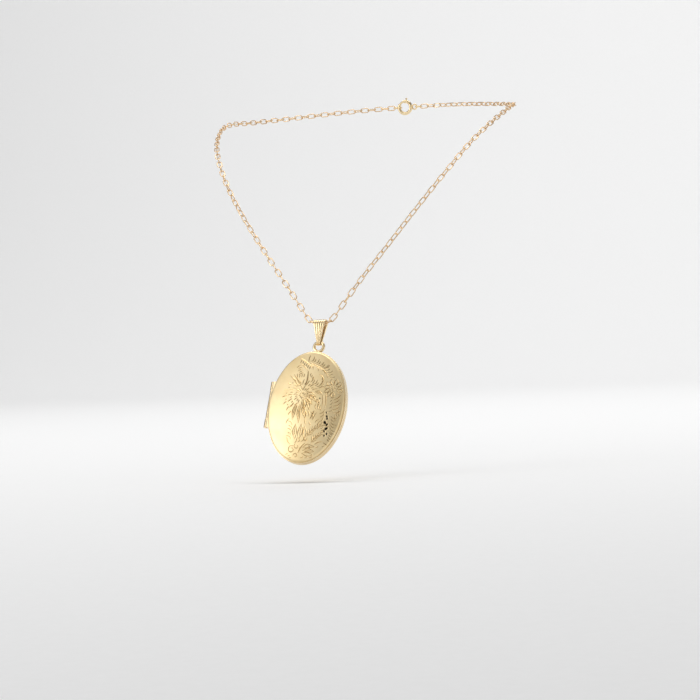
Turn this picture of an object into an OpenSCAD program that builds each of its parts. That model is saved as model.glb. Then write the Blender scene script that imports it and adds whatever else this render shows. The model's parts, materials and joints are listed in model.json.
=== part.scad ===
// Oval picture locket on a fluted bail and a cable chain, hanging as it is worn.
// Origin at the middle of the neck opening, Z up, the wearer faces -Y.

/* [Case] */
// Height of the oval case, without the ring on top
case_height = 40; // [38:1:42]
// Width of the oval case, without the hinge
case_width = 28; // [27:0.5:30.5]
// Height of each half's rim band, from the seam to the foot of the dome
rim_height = 1.25; // [1.2:0.05:1.5]
// Width of each rim band, measured inward from the edge
rim_width = 1.15; // [1.05:0.05:1.3]
// Rounding along the edges of the rim bands
rim_round = 0.22; // [0.1:0.02:0.3]
// Gap between the two closed halves
seam_gap = 0.1; // [0.06:0.02:0.16]
// Rise of each dome above its rim band
dome_rise = 2.6; // [2.2:0.1:3.2]
// Width of bright rim left showing around the foot of each dome
dome_inset = 0.3; // [0.2:0.05:0.4]
// Radius of the shoulder where each dome turns down to its rim band
dome_shoulder = 0.9; // [0.8:0.05:1.2]
// Thickness of the sheet the domes are pressed from
sheet = 0.5; // [0.4:0.05:0.6]

/* [Picture holders] */
// How far the ledge under each picture reaches in from the rim band
ledge_width = 0.6; // [0.4:0.1:0.9]
// Thickness of the ledge under each picture
ledge_height = 0.3; // [0.25:0.05:0.35]
// Thickness of the blank picture card
card_thickness = 0.25; // [0.2:0.05:0.3]
// Thickness of the clear film over the card
film_thickness = 0.15; // [0.1:0.05:0.2]
// Height of the oval frame that holds film and card
frame_height = 0.4; // [0.3:0.05:0.4]
// Width of the oval frame
frame_width = 1.3; // [1:0.1:1.8]

/* [Hinge] */
// Length of the whole hinge
hinge_length = 16.4; // [15.6:0.2:17]
// Length of each of the two end tubes
end_tube_length = 3.1; // [2.7:0.1:3.4]
// Length of the middle tube
middle_tube_length = 3.8; // [3.4:0.1:4.2]
// Outside diameter of the inner tubes
tube_diameter = 1.5; // [1.35:0.05:1.6]
// Outside diameter of the two end tubes
end_tube_diameter = 1.7; // [1.6:0.05:1.8]
// Notch between each end tube and the tube next to it
end_notch = 0.25; // [0.2:0.05:0.35]
// Gap on each side of the middle tube
tube_gap = 0.1; // [0.06:0.02:0.2]
// Diameter of the hinge pin
pin_diameter = 0.7; // [0.6:0.05:0.8]
// Gap all round the pin inside the turning tubes
pin_clearance = 0.03; // [0.02:0.01:0.05]
// Distance of the hinge axis outside the edge of the case
hinge_offset = 0.1; // [0.08:0.02:0.2]

/* [Catch] */
// Width of the catch tongue along the rim
catch_width = 5; // [4:0.5:6]
// Thickness of the catch tongue
catch_thickness = 0.3; // [0.25:0.05:0.35]
// How far the tongue reaches into the back half
catch_reach = 0.75; // [0.6:0.05:0.8]
// Gap between the tongue and the inside of the back rim
catch_clearance = 0.05; // [0.03:0.01:0.08]

/* [Top ring] */
// Wire diameter of the ring on top of the case
ring_wire = 1.1; // [0.9:0.05:1.15]
// Diameter of the hole in the ring on top of the case
ring_hole = 2.3; // [2.2:0.1:2.6]
// How far the ring's wire is let into the edge of the case
ring_sink = 0.05; // [0.04:0.01:0.1]
// Width of the solder foot under the ring
foot_width = 1.5; // [1.2:0.1:1.8]

/* [Bail] */
// Height from the wire of the top ring to the middle of the bail's upper bend
bail_rise = 6.4; // [5.8:0.1:7]
// Depth of the bail at its upper bend
bail_depth = 3.6; // [3.5:0.1:3.8]
// Width of the bail at its upper end
bail_top_width = 4.5; // [4.1:0.1:4.6]
// Width of the bail at its tip
bail_tip_width = 1.4; // [1.1:0.05:1.4]
// Thickness of the bail's strap
strap = 0.4; // [0.35:0.05:0.4]
// Gap between the bail's strap and the wire of the top ring
bail_clearance = 0.3; // [0.25:0.05:0.3]
// Depth of the flutes on the bail
flute_depth = 0.12; // [0.08:0.02:0.16]

/* [Chain] */
// Outside length of one link
link_length = 3.6; // [3.45:0.05:3.75]
// Outside width of one link
link_width = 2.05; // [1.95:0.05:2.15]
// Wire diameter of the links
link_wire = 0.4; // [0.38:0.01:0.42]
// Free play between two links along the chain
link_slack = 0.08; // [0.06:0.01:0.12]
// Slope of the two strands where they leave the bail, in degrees above level
strand_slope = 53; // [48:1:55]
// Turn of the links about the chain's run where the chain lies on the chest, in degrees
link_twist = 45; // [0:5:45]
// Half the width of the worn loop at the sides of the neck
loop_half_width = 55.5; // [53:0.5:58]
// Distance of the worn loop behind the middle of the neck at the nape
loop_back = 54; // [52:1:57]
// Distance of the bail in front of the middle of the neck
bail_front = 55; // [53:1:57]
// Drop from the middle of the neck opening to the bail's upper bend
bail_drop = 77; // [75.5:0.5:78.5]

/* [Clasp] */
// Outside diameter of the spring ring clasp
clasp_diameter = 6; // [5.8:0.1:6.5]
// Outside diameter of the clasp's tube
clasp_tube = 1.3; // [1.2:0.05:1.4]
// Wall thickness of the clasp's tube
clasp_wall = 0.2; // [0.18:0.01:0.22]
// Gap all round the gate inside the clasp's tube
gate_clearance = 0.05; // [0.04:0.01:0.07]
// Opening in the clasp's tube, in degrees of its circle
mouth_angle = 50; // [46:1:56]
// Travel of the gate, in degrees of the clasp's circle
gate_travel = 50; // [46:1:52]
// Wire diameter of the clasp's fixed eye
eye_wire = 0.55; // [0.5:0.05:0.6]
// Outside diameter of the clasp's fixed eye
eye_diameter = 2.4; // [2.3:0.1:2.6]
// Wire diameter of the two plain rings beside the clasp
plain_wire = 0.5; // [0.45:0.05:0.55]
// Outside diameter of the ring between the clasp and the chain
jump_diameter = 3; // [2.9:0.1:3.2]
// Outside diameter of the ring that the clasp closes on
end_diameter = 3.6; // [3.5:0.1:3.8]

/* [Hanging pose] */
// Lean of the locket and of the strands beside it, as the chest slopes, in degrees
lean = 18; // [12:1:22]
// Sideways rest of the case on the top ring, in degrees
sway = 6; // [0:1:10]

/* [Hidden] */
$fn = 64;
oval_steps = 180;
// Finishes
polished_gold = "#e8c98b";
satin_gold = "#d9c184";
rose_gold = "#e3bd8c";
card_white = "#f4f1e8";
clear_film = "#dfe6ea";
steel = "#a9adb2";
// Small overshoot of every cutting solid past the face it cuts
over = 0.5;

// Case: plan X across, plan Y along the height, plan Z out from the seam
half_w = case_width / 2;
half_h = case_height / 2;
rim_foot = seam_gap / 2;
rim_top = rim_foot + rim_height;
opening_inset = rim_width;
ledge_inset = rim_width + ledge_width;
ledge_level = rim_top - ledge_height;
card_level = ledge_level - card_thickness;
film_level = card_level - film_thickness;
frame_level = film_level - frame_height;
frame_inset = rim_width + frame_width;
card_gap = 0.05;
card_inset = rim_width + card_gap;
dome_edge = half_h - dome_inset;
dome_lip = 0.08;
dome_ball = (pow(dome_edge - dome_shoulder, 2) + pow(dome_rise - dome_lip, 2)
    - pow(dome_shoulder, 2)) / (2 * (dome_rise - dome_lip - dome_shoulder));
dome_tangent = asin((dome_edge - dome_shoulder) / (dome_ball - dome_shoulder));

// Hinge
hinge_x = -(half_w + hinge_offset);
side_tube_length = (hinge_length - 2 * end_tube_length - middle_tube_length
    - 2 * end_notch - 2 * tube_gap) / 2;
end_tube_at = hinge_length / 2 - end_tube_length / 2;
side_tube_at = middle_tube_length / 2 + tube_gap + side_tube_length / 2;
land_start = 0.5;
land_cover = 0.6;
land_face = hinge_x + land_start;
land_back = -(half_w - rim_width - land_cover);
turn_gap = 0.1;
pin_end = 0.1;

// Catch
notch_gap = 0.12;
notch_x = half_w - rim_width - catch_thickness - notch_gap;
notch_width = catch_width + 2 * notch_gap;

// Top ring: its hole is the origin of the locket's own frame
ring_middle = (ring_hole + ring_wire) / 2;
ring_above = ring_hole / 2 + ring_wire - ring_sink;
ring_back = rim_foot + rim_height / 2;
foot_sunk = 1;

// Bail
bail_bend = bail_depth / 2;
bail_hook = ring_wire / 2 + bail_clearance;
bail_point = [0, -bail_front, -bail_drop];
chest_down = [0, -sin(lean), -cos(lean)];
wire_point = bail_point + bail_rise * chest_down;
ring_point = wire_point + ring_middle * chest_down;
leaf_angle = asin((bail_bend - bail_hook - strap) / bail_rise);
flute_count = 5;
groove_radius = 0.3;

// Chain
inner_length = link_length - 2 * link_wire;
pitch = inner_length - link_slack;
bend_links = 4;
bend_radius = bend_links * pitch / (2 * strand_slope * PI / 180);
fit_gap = 0.06;
loop_nape = 7;
group_size = 18;

// Clasp: its ring stands in the plane across the nape
clasp_middle = (clasp_diameter - clasp_tube) / 2;
gate_wire = clasp_tube - 2 * clasp_wall - 2 * gate_clearance;
mouth_start = 100;
gate_lap = 6;
gate_tip = mouth_start + mouth_angle + gate_lap;
gate_tail = 60;
gate_tab = 78;
slot_width = 0.5;
tab_width = 0.4;
knob_diameter = 0.6;
knob_height = 1;
knob_gap = 0.15;
spring_end = -30;
plug_angle = 5;
spring_wire = 0.1;
spring_turns = 9;
spring_bead = 0.12;
spring_room = 0.1;
turn_trim = 2;
seat_angle = 1;
eye_bite = 0.02;
eye_middle = (eye_diameter - eye_wire) / 2;
jump_middle = (jump_diameter - plain_wire) / 2;
end_middle = (end_diameter - plain_wire) / 2;
eye_at = clasp_diameter / 2 + eye_middle - eye_bite;
jump_at = eye_at + eye_middle - (eye_wire + plain_wire) / 2 - fit_gap + jump_middle;
last_right = jump_at + jump_middle - (plain_wire + link_wire) / 2 - fit_gap
    + (link_length - link_wire) / 2;
end_at = clasp_middle - (clasp_tube + plain_wire) / 2 - fit_gap + end_middle;
last_left = end_at + end_middle - (plain_wire + link_wire) / 2 - fit_gap
    + (link_length - link_wire) / 2;

// Route of one half of the worn loop, from under the bail round to the nape
bend_steps = 12;
bend_part = [for (i = [0 : bend_steps]) let (a = strand_slope * i / bend_steps)
    bail_point + [bend_radius * sin(a), 0, 0] - bend_radius * (1 - cos(a)) * chest_down];
bend_end = bend_part[bend_steps];
nape_straight = 9;
lead_in = 6;
nape_lead = 34;
way = [
    [0.245 * loop_half_width, -0.924 * bail_front, -0.811 * bail_drop],
    [0.42 * loop_half_width, -0.84 * bail_front, -0.647 * bail_drop],
    [0.589 * loop_half_width, -0.743 * bail_front, -0.483 * bail_drop],
    [0.742 * loop_half_width, -0.611 * bail_front, -0.327 * bail_drop],
    [0.87 * loop_half_width, -0.427 * bail_front, -0.183 * bail_drop],
    [0.96 * loop_half_width, -0.185 * bail_front, -0.077 * bail_drop],
    [loop_half_width, 0.1 * loop_back, 0],
    [0.927 * loop_half_width, 0.42 * loop_back, 0.31 * loop_nape],
    [0.743 * loop_half_width, 0.694 * loop_back, 0.6 * loop_nape],
    [0.47 * loop_half_width, 0.89 * loop_back, 0.86 * loop_nape],
    [nape_straight, loop_back, loop_nape]
];
way_count = len(way);
guide = concat(
    [bend_end - [lead_in * cos(strand_slope), 0, 0] + lead_in * sin(strand_slope) * chest_down,
        bend_end],
    way,
    [way[way_count - 2] - [nape_lead, 0, 0]]
);
curve_steps = 10;

function smooth(a, b, c, d, t) = 0.5 * (2 * b + (c - a) * t
    + (2 * a - 5 * b + 4 * c - d) * t * t + (3 * b - a - 3 * c + d) * t * t * t);

curve_part = [for (i = [1 : way_count]) for (k = [1 : curve_steps])
    smooth(guide[i - 1], guide[i], guide[i + 1], guide[i + 2], k / curve_steps)];
route = concat(bend_part, curve_part, [[0, loop_back, loop_nape]]);
route_count = len(route);

function run_up(i, sum, out) = i == route_count ? out
    : let (next = sum + norm(route[i] - route[i - 1]))
    run_up(i + 1, next, concat(out, [next]));

run = run_up(1, 0, [0]);
half_run = run[route_count - 1];
table_x = [for (i = [0 : route_count - 1]) [run[i], route[i][0]]];
table_y = [for (i = [0 : route_count - 1]) [run[i], route[i][1]]];
table_z = [for (i = [0 : route_count - 1]) [run[i], route[i][2]]];

function point_at(s) = s < 0
    ? [-lookup(-s, table_x), lookup(-s, table_y), lookup(-s, table_z)]
    : [lookup(s, table_x), lookup(s, table_y), lookup(s, table_z)];
function unit(v) = v / norm(v);

// Turn of the links along each half of the loop; the right half lies flatter on the chest
right_turn = [[0, 0], [0.1 * half_run, link_twist], [0.9 * half_run, link_twist], [half_run, 0]];
left_turn = [[0, 0], [0.1 * half_run, -0.6 * link_twist], [0.22 * half_run, -0.2 * link_twist],
    [0.35 * half_run, 0.4 * link_twist], [0.9 * half_run, 0.4 * link_twist], [half_run, 0]];

right_count = 2 * ceil((half_run - last_right) / (2 * pitch));
left_count = 2 * ceil((half_run - last_left) / (2 * pitch));
right_pitch = (half_run - last_right) / right_count;
left_pitch = (half_run - last_left) / left_count;

// Leans the bail as the chest slopes
module on_chest() {
    translate(bail_point)
    rotate([-lean, 0, 0])
    children();
}

// Puts the locket's own frame, with its origin in the hole of the top ring, in place
module on_ring() {
    translate(ring_point)
    rotate([-lean, 0, 0])
    rotate([0, sway, 0])
    children();
}

// Case plan turned to face the front
module front_half() {
    on_ring()
    translate([0, -ring_back, -half_h - ring_above])
    rotate([90, 0, 0])
    children();
}

// Case plan turned to face the chest
module back_half() {
    on_ring()
    translate([0, -ring_back, -half_h - ring_above])
    rotate([-90, 0, 0])
    children();
}

// Left and right halves joined, so that a stretched round keeps a seam on the middle line
module halved() {
    for (s = [-1, 0])
        intersection() {
            children();
            translate([s * case_width, -case_height, -case_width])
            cube([case_width, 2 * case_height, 2 * case_width]);
        }
}

// Oval prism of the case outline moved in by inset
module oval(inset, low, high) {
    halved()
    translate([0, 0, low])
    scale([(half_w - inset) / (half_h - inset), 1, 1])
    cylinder(r = half_h - inset, h = high - low, $fn = oval_steps);
}

// Half section of the dome, thinned by skin
module dome_section(skin) {
    ball_at = dome_rise - dome_ball;
    union() {
        intersection() {
            translate([0, ball_at])
            circle(r = dome_ball - skin, $fn = 12 * oval_steps);
            polygon([
                [0, -over],
                [dome_edge - dome_shoulder, -over],
                [dome_edge - dome_shoulder, dome_lip],
                [dome_edge - dome_shoulder + 2 * dome_shoulder * sin(dome_tangent),
                    dome_lip + 2 * dome_shoulder * cos(dome_tangent)],
                [0, dome_rise + 1]
            ]);
        }
        intersection() {
            translate([dome_edge - dome_shoulder, dome_lip])
            circle(r = dome_shoulder - skin);
            translate([0, dome_lip])
            square([dome_edge, dome_rise]);
        }
        translate([0, -over])
        square([dome_edge - skin, dome_lip + over]);
    }
}

// Solid under the dome, thinned by skin all round
module dome_solid(skin) {
    scale([(half_w - dome_inset - skin) / (dome_edge - skin), 1, 1])
    rotate_extrude($fn = oval_steps)
    intersection() {
        dome_section(skin);
        translate([0, -over])
        square([half_h, dome_rise + 2 * over]);
    }
}

module cover() {
    translate([0, 0, rim_top])
    for (s = [-1, 0])
        intersection() {
            difference() {
                dome_solid(0);
                dome_solid(sheet);
            }
            translate([s * half_w, -half_h, 0])
            cube([half_w, 2 * half_h, dome_rise + over]);
        }
}

// Oval band with rounded edges
module rim_blank() {
    halved()
    translate([0, 0, rim_foot])
    scale([half_w / half_h, 1, 1])
    rotate_extrude($fn = oval_steps)
    union() {
        square([half_h - rim_round, rim_height]);
        translate([0, rim_round])
        square([half_h, rim_height - 2 * rim_round]);
        translate([half_h - rim_round, rim_round])
        circle(r = rim_round);
        translate([half_h - rim_round, rim_height - rim_round])
        circle(r = rim_round);
    }
}

// Round space along the hinge axis
module barrel(diameter, middle, long) {
    translate([hinge_x, middle, 0])
    rotate([90, 0, 0])
    cylinder(d = diameter, h = long, center = true);
}

// Rim of one half; own_ends is true where this half carries the end tubes
module rim(own_ends) {
    difference() {
        union() {
            rim_blank();
            translate([land_face, -hinge_length / 2, rim_foot])
            cube([land_back - land_face, hinge_length, rim_height]);
        }
        oval(opening_inset, -over, ledge_level);
        oval(ledge_inset, -over, rim_top + over);
        barrel(tube_diameter, 0, hinge_length + 2 * over);
        for (s = [-1, 1]) {
            barrel(end_tube_diameter, s * end_tube_at, end_tube_length + 2 * end_notch);
            if (own_ends)
                barrel(tube_diameter + 2 * turn_gap, s * side_tube_at,
                    side_tube_length + 2 * tube_gap);
            else
                barrel(end_tube_diameter + 2 * turn_gap, s * end_tube_at,
                    end_tube_length + 2 * end_notch);
        }
        if (!own_ends)
            barrel(tube_diameter + 2 * turn_gap, 0, middle_tube_length + 2 * tube_gap);
    }
}

module hinge_tube(diameter, middle, long, bore) {
    difference() {
        barrel(diameter, middle, long);
        barrel(bore, middle, long + 2 * over);
    }
}

// Cuts the flat notches that clear the hinge land and the catch tongue
module notched() {
    difference() {
        children();
        translate([notch_x, -notch_width / 2, -over])
        cube([half_w, notch_width, rim_top + 2 * over]);
    }
}

module card() {
    notched()
    oval(card_inset, card_level, ledge_level);
}

module film() {
    notched()
    oval(card_inset, film_level, card_level);
}

module frame() {
    notched()
    difference() {
        oval(opening_inset, frame_level, film_level);
        oval(frame_inset, frame_level - over, film_level + over);
    }
}

// Spring tongue on the front half that grips inside the back rim
module tongue() {
    intersection() {
        union() {
            difference() {
                oval(opening_inset, rim_foot, ledge_level);
                oval(opening_inset + catch_thickness, rim_foot - over, ledge_level + over);
            }
            difference() {
                oval(opening_inset + catch_clearance, -catch_reach, rim_foot);
                oval(opening_inset + catch_thickness, -catch_reach - over, rim_foot + over);
            }
        }
        translate([half_w / 2, -catch_width / 2, -rim_top])
        cube([half_w, catch_width, 2 * rim_top]);
    }
}

module ring_on_case() {
    case_middle = half_h + ring_above;
    foot_base = ring_above + foot_sunk;
    on_ring()
    difference() {
        union() {
            rotate([90, 0, 0])
            rotate_extrude()
            translate([ring_middle, 0])
            circle(d = ring_wire);
            translate([0, 0, -foot_base])
            cylinder(d1 = foot_width, d2 = ring_wire, h = foot_base - ring_middle + ring_wire / 4);
        }
        translate([0, 0, -case_middle])
        rotate([90, 0, 0])
        oval(0, -half_w, half_w);
    }
}

// Side outline of the folded strap, moved in by skin, as a solid wide slab
module bail_slab(skin) {
    top_r = bail_bend - skin;
    tip_r = bail_hook + strap - skin;
    wide = bail_top_width + 2 * over + 2 * skin;
    rotate([0, 90, 0])
    union() {
        cylinder(r = top_r, h = wide, center = true);
        translate([bail_rise, 0, 0])
        cylinder(r = tip_r, h = wide, center = true);
        linear_extrude(height = wide, center = true)
        polygon([
            [top_r * sin(leaf_angle), top_r * cos(leaf_angle)],
            [bail_rise + tip_r * sin(leaf_angle), tip_r * cos(leaf_angle)],
            [bail_rise + tip_r * sin(leaf_angle), -tip_r * cos(leaf_angle)],
            [top_r * sin(leaf_angle), -top_r * cos(leaf_angle)]
        ]);
    }
}

// Grooves between the flutes of one leaf, spreading from the tip to the top
module leaf_grooves() {
    outer = flute_count / 2 - 1;
    for (k = [-outer : outer]) {
        top_x = k * bail_top_width / flute_count;
        tip_x = k * bail_tip_width / flute_count;
        fan = atan2(top_x - tip_x, bail_rise);
        rotate([leaf_angle, 0, 0])
        translate([top_x, -bail_bend - groove_radius + flute_depth, 0])
        rotate([0, fan, 0])
        translate([0, 0, -bail_rise])
        cylinder(r = groove_radius, h = bail_rise + bail_bend);
    }
}

module bail_strap() {
    on_chest()
    difference() {
        intersection() {
            difference() {
                bail_slab(0);
                bail_slab(strap);
            }
            rotate([90, 0, 0])
            linear_extrude(height = bail_depth + 2 * over, center = true)
            polygon([
                [-bail_top_width / 2, bail_bend + over],
                [-bail_top_width / 2, bail_bend / 2],
                [-bail_tip_width / 2, -bail_rise],
                [-bail_tip_width / 2, -bail_rise - bail_bend],
                [bail_tip_width / 2, -bail_rise - bail_bend],
                [bail_tip_width / 2, -bail_rise],
                [bail_top_width / 2, bail_bend / 2],
                [bail_top_width / 2, bail_bend + over]
            ]);
        }
        leaf_grooves();
        rotate([0, 0, 180])
        leaf_grooves();
    }
}

// One link, long axis X, width along Y
module link() {
    straight = (link_length - link_width) / 2;
    side_r = (link_width - link_wire) / 2;
    union() {
        for (s = [-1, 1]) {
            translate([s * straight, 0, 0])
            rotate([0, 0, -90 * s])
            rotate_extrude(angle = 180)
            translate([side_r, 0])
            circle(d = link_wire);
            translate([-straight, s * side_r, 0])
            rotate([0, 90, 0])
            cylinder(d = link_wire, h = 2 * straight);
        }
    }
}

// Link between two points of the run; a turned link stands square to its neighbours
module link_between(near, far, turned) {
    a = point_at(near);
    b = point_at(far);
    middle = (a + b) / 2;
    along = unit(b - a);
    at = (near + far) / 2;
    tilt = lean * (1 - abs(at) / half_run);
    outward = [middle[0], middle[1], tan(tilt) * norm([middle[0], middle[1]])];
    side = unit(cross(along, outward));
    face = cross(side, along);
    twist = at < 0 ? -lookup(-at, left_turn) : lookup(at, right_turn);
    out = face * cos(twist) + side * sin(twist);
    flat = side * cos(twist) - face * sin(twist);
    wide = turned ? out : -flat;
    deep = turned ? flat : out;
    multmatrix([
        [along[0], wide[0], deep[0], middle[0]],
        [along[1], wide[1], deep[1], middle[1]],
        [along[2], wide[2], deep[2], middle[2]],
        [0, 0, 0, 1]
    ])
    link();
}

// Every second link of one group, counted away from the bail; hand is 1 right, -1 left
module link_group(hand, group, first) {
    count = hand > 0 ? right_count : left_count;
    spacing = hand > 0 ? right_pitch : left_pitch;
    stop = group == 4 ? count : group * group_size;
    for (i = [(group - 1) * group_size + first : 2 : stop])
        link_between(hand * (i - 0.5) * spacing, hand * (i + 0.5) * spacing, first == 1);
}

// Clasp plan stood up across the nape: plan X across, plan Y up
module at_nape() {
    translate([0, loop_back, loop_nape])
    rotate([90, 0, 0])
    children();
}

// Part of a round wire ring, in degrees of its circle
module wire_arc(middle, wire, start, sweep) {
    rotate([0, 0, start])
    rotate_extrude(angle = sweep)
    translate([middle, 0])
    circle(d = wire);
}

module wire_ring(middle, wire) {
    rotate_extrude()
    translate([middle, 0])
    circle(d = wire);
}

module clasp_tube_body() {
    bore = clasp_tube - 2 * clasp_wall;
    mouth_end = mouth_start + mouth_angle;
    tab_room = asin((tab_width / 2 + gate_clearance) / clasp_middle);
    union() {
        difference() {
            wire_arc(clasp_middle, clasp_tube, mouth_end, 360 - mouth_angle);
            wire_arc(clasp_middle, bore, mouth_end - turn_trim, 360 - mouth_angle + 2 * turn_trim);
            rotate([0, 0, gate_tab - gate_travel - tab_room])
            rotate_extrude(angle = gate_travel + 2 * tab_room)
            translate([clasp_middle, -slot_width / 2])
            square([clasp_tube, slot_width]);
        }
        wire_arc(clasp_middle, bore, spring_end - plug_angle, plug_angle);
    }
}

module gate() {
    union() {
        wire_arc(clasp_middle, gate_wire, gate_tail, gate_tip - gate_tail);
        rotate([0, 0, gate_tab])
        union() {
            translate([clasp_middle, 0, 0])
            rotate([0, 90, 0])
            cylinder(d = tab_width, h = clasp_tube / 2 + knob_gap + knob_diameter / 2);
            translate([clasp_diameter / 2 + knob_gap + knob_diameter / 2, 0, 0])
            cylinder(d = knob_diameter, h = knob_height, center = true);
        }
    }
}

// Spring in the tube: each turn is a level half and a leaning half, joined by small beads
module tube_spring() {
    coil_r = gate_wire / 2 - spring_room;
    low = spring_end + seat_angle;
    step = (gate_tail - seat_angle - low) / spring_turns;
    union() {
        for (k = [0 : spring_turns - 1]) {
            a = low + k * step;
            inner = (clasp_middle - coil_r) * [cos(a), sin(a)];
            outer = (clasp_middle + coil_r) * [cos(a + step), sin(a + step)];
            middle = (inner + outer) / 2;
            lean_to = atan2(outer[1] - inner[1], outer[0] - inner[0]);
            rotate([0, 0, a])
            translate([clasp_middle, 0, 0])
            rotate([90, 0, 0])
            wire_arc(coil_r, spring_wire, turn_trim, 180 - 2 * turn_trim);
            translate([middle[0], middle[1], 0])
            rotate([0, 0, lean_to])
            rotate([90, 0, 0])
            wire_arc(norm(outer - inner) / 2, spring_wire, 180 + turn_trim, 180 - 2 * turn_trim);
            for (p = [inner, outer])
                translate([p[0], p[1], 0])
                sphere(d = spring_bead);
        }
    }
}

module eye() {
    difference() {
        translate([eye_at, 0, 0])
        wire_ring(eye_middle, eye_wire);
        wire_ring(clasp_middle, clasp_tube);
    }
}

// Sub-parts
module front_cover() {
    color(satin_gold)
    front_half()
    cover();
}

module front_rim() {
    color(polished_gold)
    front_half()
    rim(false);
}

module back_cover() {
    color(satin_gold)
    back_half()
    cover();
}

module back_rim() {
    color(polished_gold)
    back_half()
    rim(true);
}

module hinge_tube_front_upper() {
    color(polished_gold)
    front_half()
    hinge_tube(tube_diameter, side_tube_at, side_tube_length, pin_diameter + 2 * pin_clearance);
}

module hinge_tube_front_lower() {
    color(polished_gold)
    front_half()
    hinge_tube(tube_diameter, -side_tube_at, side_tube_length, pin_diameter + 2 * pin_clearance);
}

module hinge_tube_back_top() {
    color(polished_gold)
    front_half()
    hinge_tube(end_tube_diameter, end_tube_at, end_tube_length, pin_diameter);
}

module hinge_tube_back_middle() {
    color(polished_gold)
    front_half()
    hinge_tube(tube_diameter, 0, middle_tube_length, pin_diameter);
}

module hinge_tube_back_bottom() {
    color(polished_gold)
    front_half()
    hinge_tube(end_tube_diameter, -end_tube_at, end_tube_length, pin_diameter);
}

module hinge_pin() {
    color(polished_gold)
    front_half()
    barrel(pin_diameter, 0, hinge_length + 2 * pin_end);
}

module catch_tongue() {
    color(polished_gold)
    front_half()
    tongue();
}

module front_card() {
    color(card_white)
    front_half()
    card();
}

module front_film() {
    color(clear_film)
    front_half()
    film();
}

module front_frame() {
    color(polished_gold)
    front_half()
    frame();
}

module back_card() {
    color(card_white)
    back_half()
    card();
}

module back_film() {
    color(clear_film)
    back_half()
    film();
}

module back_frame() {
    color(polished_gold)
    back_half()
    frame();
}

module top_ring() {
    color(polished_gold)
    ring_on_case();
}

module bail() {
    color(polished_gold)
    bail_strap();
}

module middle_link() {
    color(rose_gold)
    link_between(-left_pitch / 2, right_pitch / 2, false);
}

module right_links_1_odd() {
    color(rose_gold)
    link_group(1, 1, 1);
}

module right_links_1_even() {
    color(rose_gold)
    link_group(1, 1, 2);
}

module right_links_2_odd() {
    color(rose_gold)
    link_group(1, 2, 1);
}

module right_links_2_even() {
    color(rose_gold)
    link_group(1, 2, 2);
}

module right_links_3_odd() {
    color(rose_gold)
    link_group(1, 3, 1);
}

module right_links_3_even() {
    color(rose_gold)
    link_group(1, 3, 2);
}

module right_links_4_odd() {
    color(rose_gold)
    link_group(1, 4, 1);
}

module right_links_4_even() {
    color(rose_gold)
    link_group(1, 4, 2);
}

module left_links_1_odd() {
    color(rose_gold)
    link_group(-1, 1, 1);
}

module left_links_1_even() {
    color(rose_gold)
    link_group(-1, 1, 2);
}

module left_links_2_odd() {
    color(rose_gold)
    link_group(-1, 2, 1);
}

module left_links_2_even() {
    color(rose_gold)
    link_group(-1, 2, 2);
}

module left_links_3_odd() {
    color(rose_gold)
    link_group(-1, 3, 1);
}

module left_links_3_even() {
    color(rose_gold)
    link_group(-1, 3, 2);
}

module left_links_4_odd() {
    color(rose_gold)
    link_group(-1, 4, 1);
}

module left_links_4_even() {
    color(rose_gold)
    link_group(-1, 4, 2);
}

module clasp_body() {
    color(polished_gold)
    at_nape()
    clasp_tube_body();
}

module clasp_gate() {
    color(polished_gold)
    at_nape()
    gate();
}

module clasp_spring() {
    color(steel)
    at_nape()
    tube_spring();
}

module clasp_eye() {
    color(polished_gold)
    at_nape()
    eye();
}

module jump_ring() {
    color(polished_gold)
    at_nape()
    translate([jump_at, 0, 0])
    rotate([90, 0, 0])
    wire_ring(jump_middle, plain_wire);
}

module end_ring() {
    color(polished_gold)
    at_nape()
    translate([-end_at, 0, 0])
    rotate([90, 0, 0])
    wire_ring(end_middle, plain_wire);
}

front_cover();
front_rim();
back_cover();
back_rim();
hinge_tube_front_upper();
hinge_tube_front_lower();
hinge_tube_back_top();
hinge_tube_back_middle();
hinge_tube_back_bottom();
hinge_pin();
catch_tongue();
front_card();
front_film();
front_frame();
back_card();
back_film();
back_frame();
top_ring();
bail();
middle_link();
right_links_1_odd();
right_links_1_even();
right_links_2_odd();
right_links_2_even();
right_links_3_odd();
right_links_3_even();
right_links_4_odd();
right_links_4_even();
left_links_1_odd();
left_links_1_even();
left_links_2_odd();
left_links_2_even();
left_links_3_odd();
left_links_3_even();
left_links_4_odd();
left_links_4_even();
clasp_body();
clasp_gate();
clasp_spring();
clasp_eye();
jump_ring();
end_ring();
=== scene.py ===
import json
import math
import bpy
import numpy as np
from mathutils import Matrix, Vector

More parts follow.
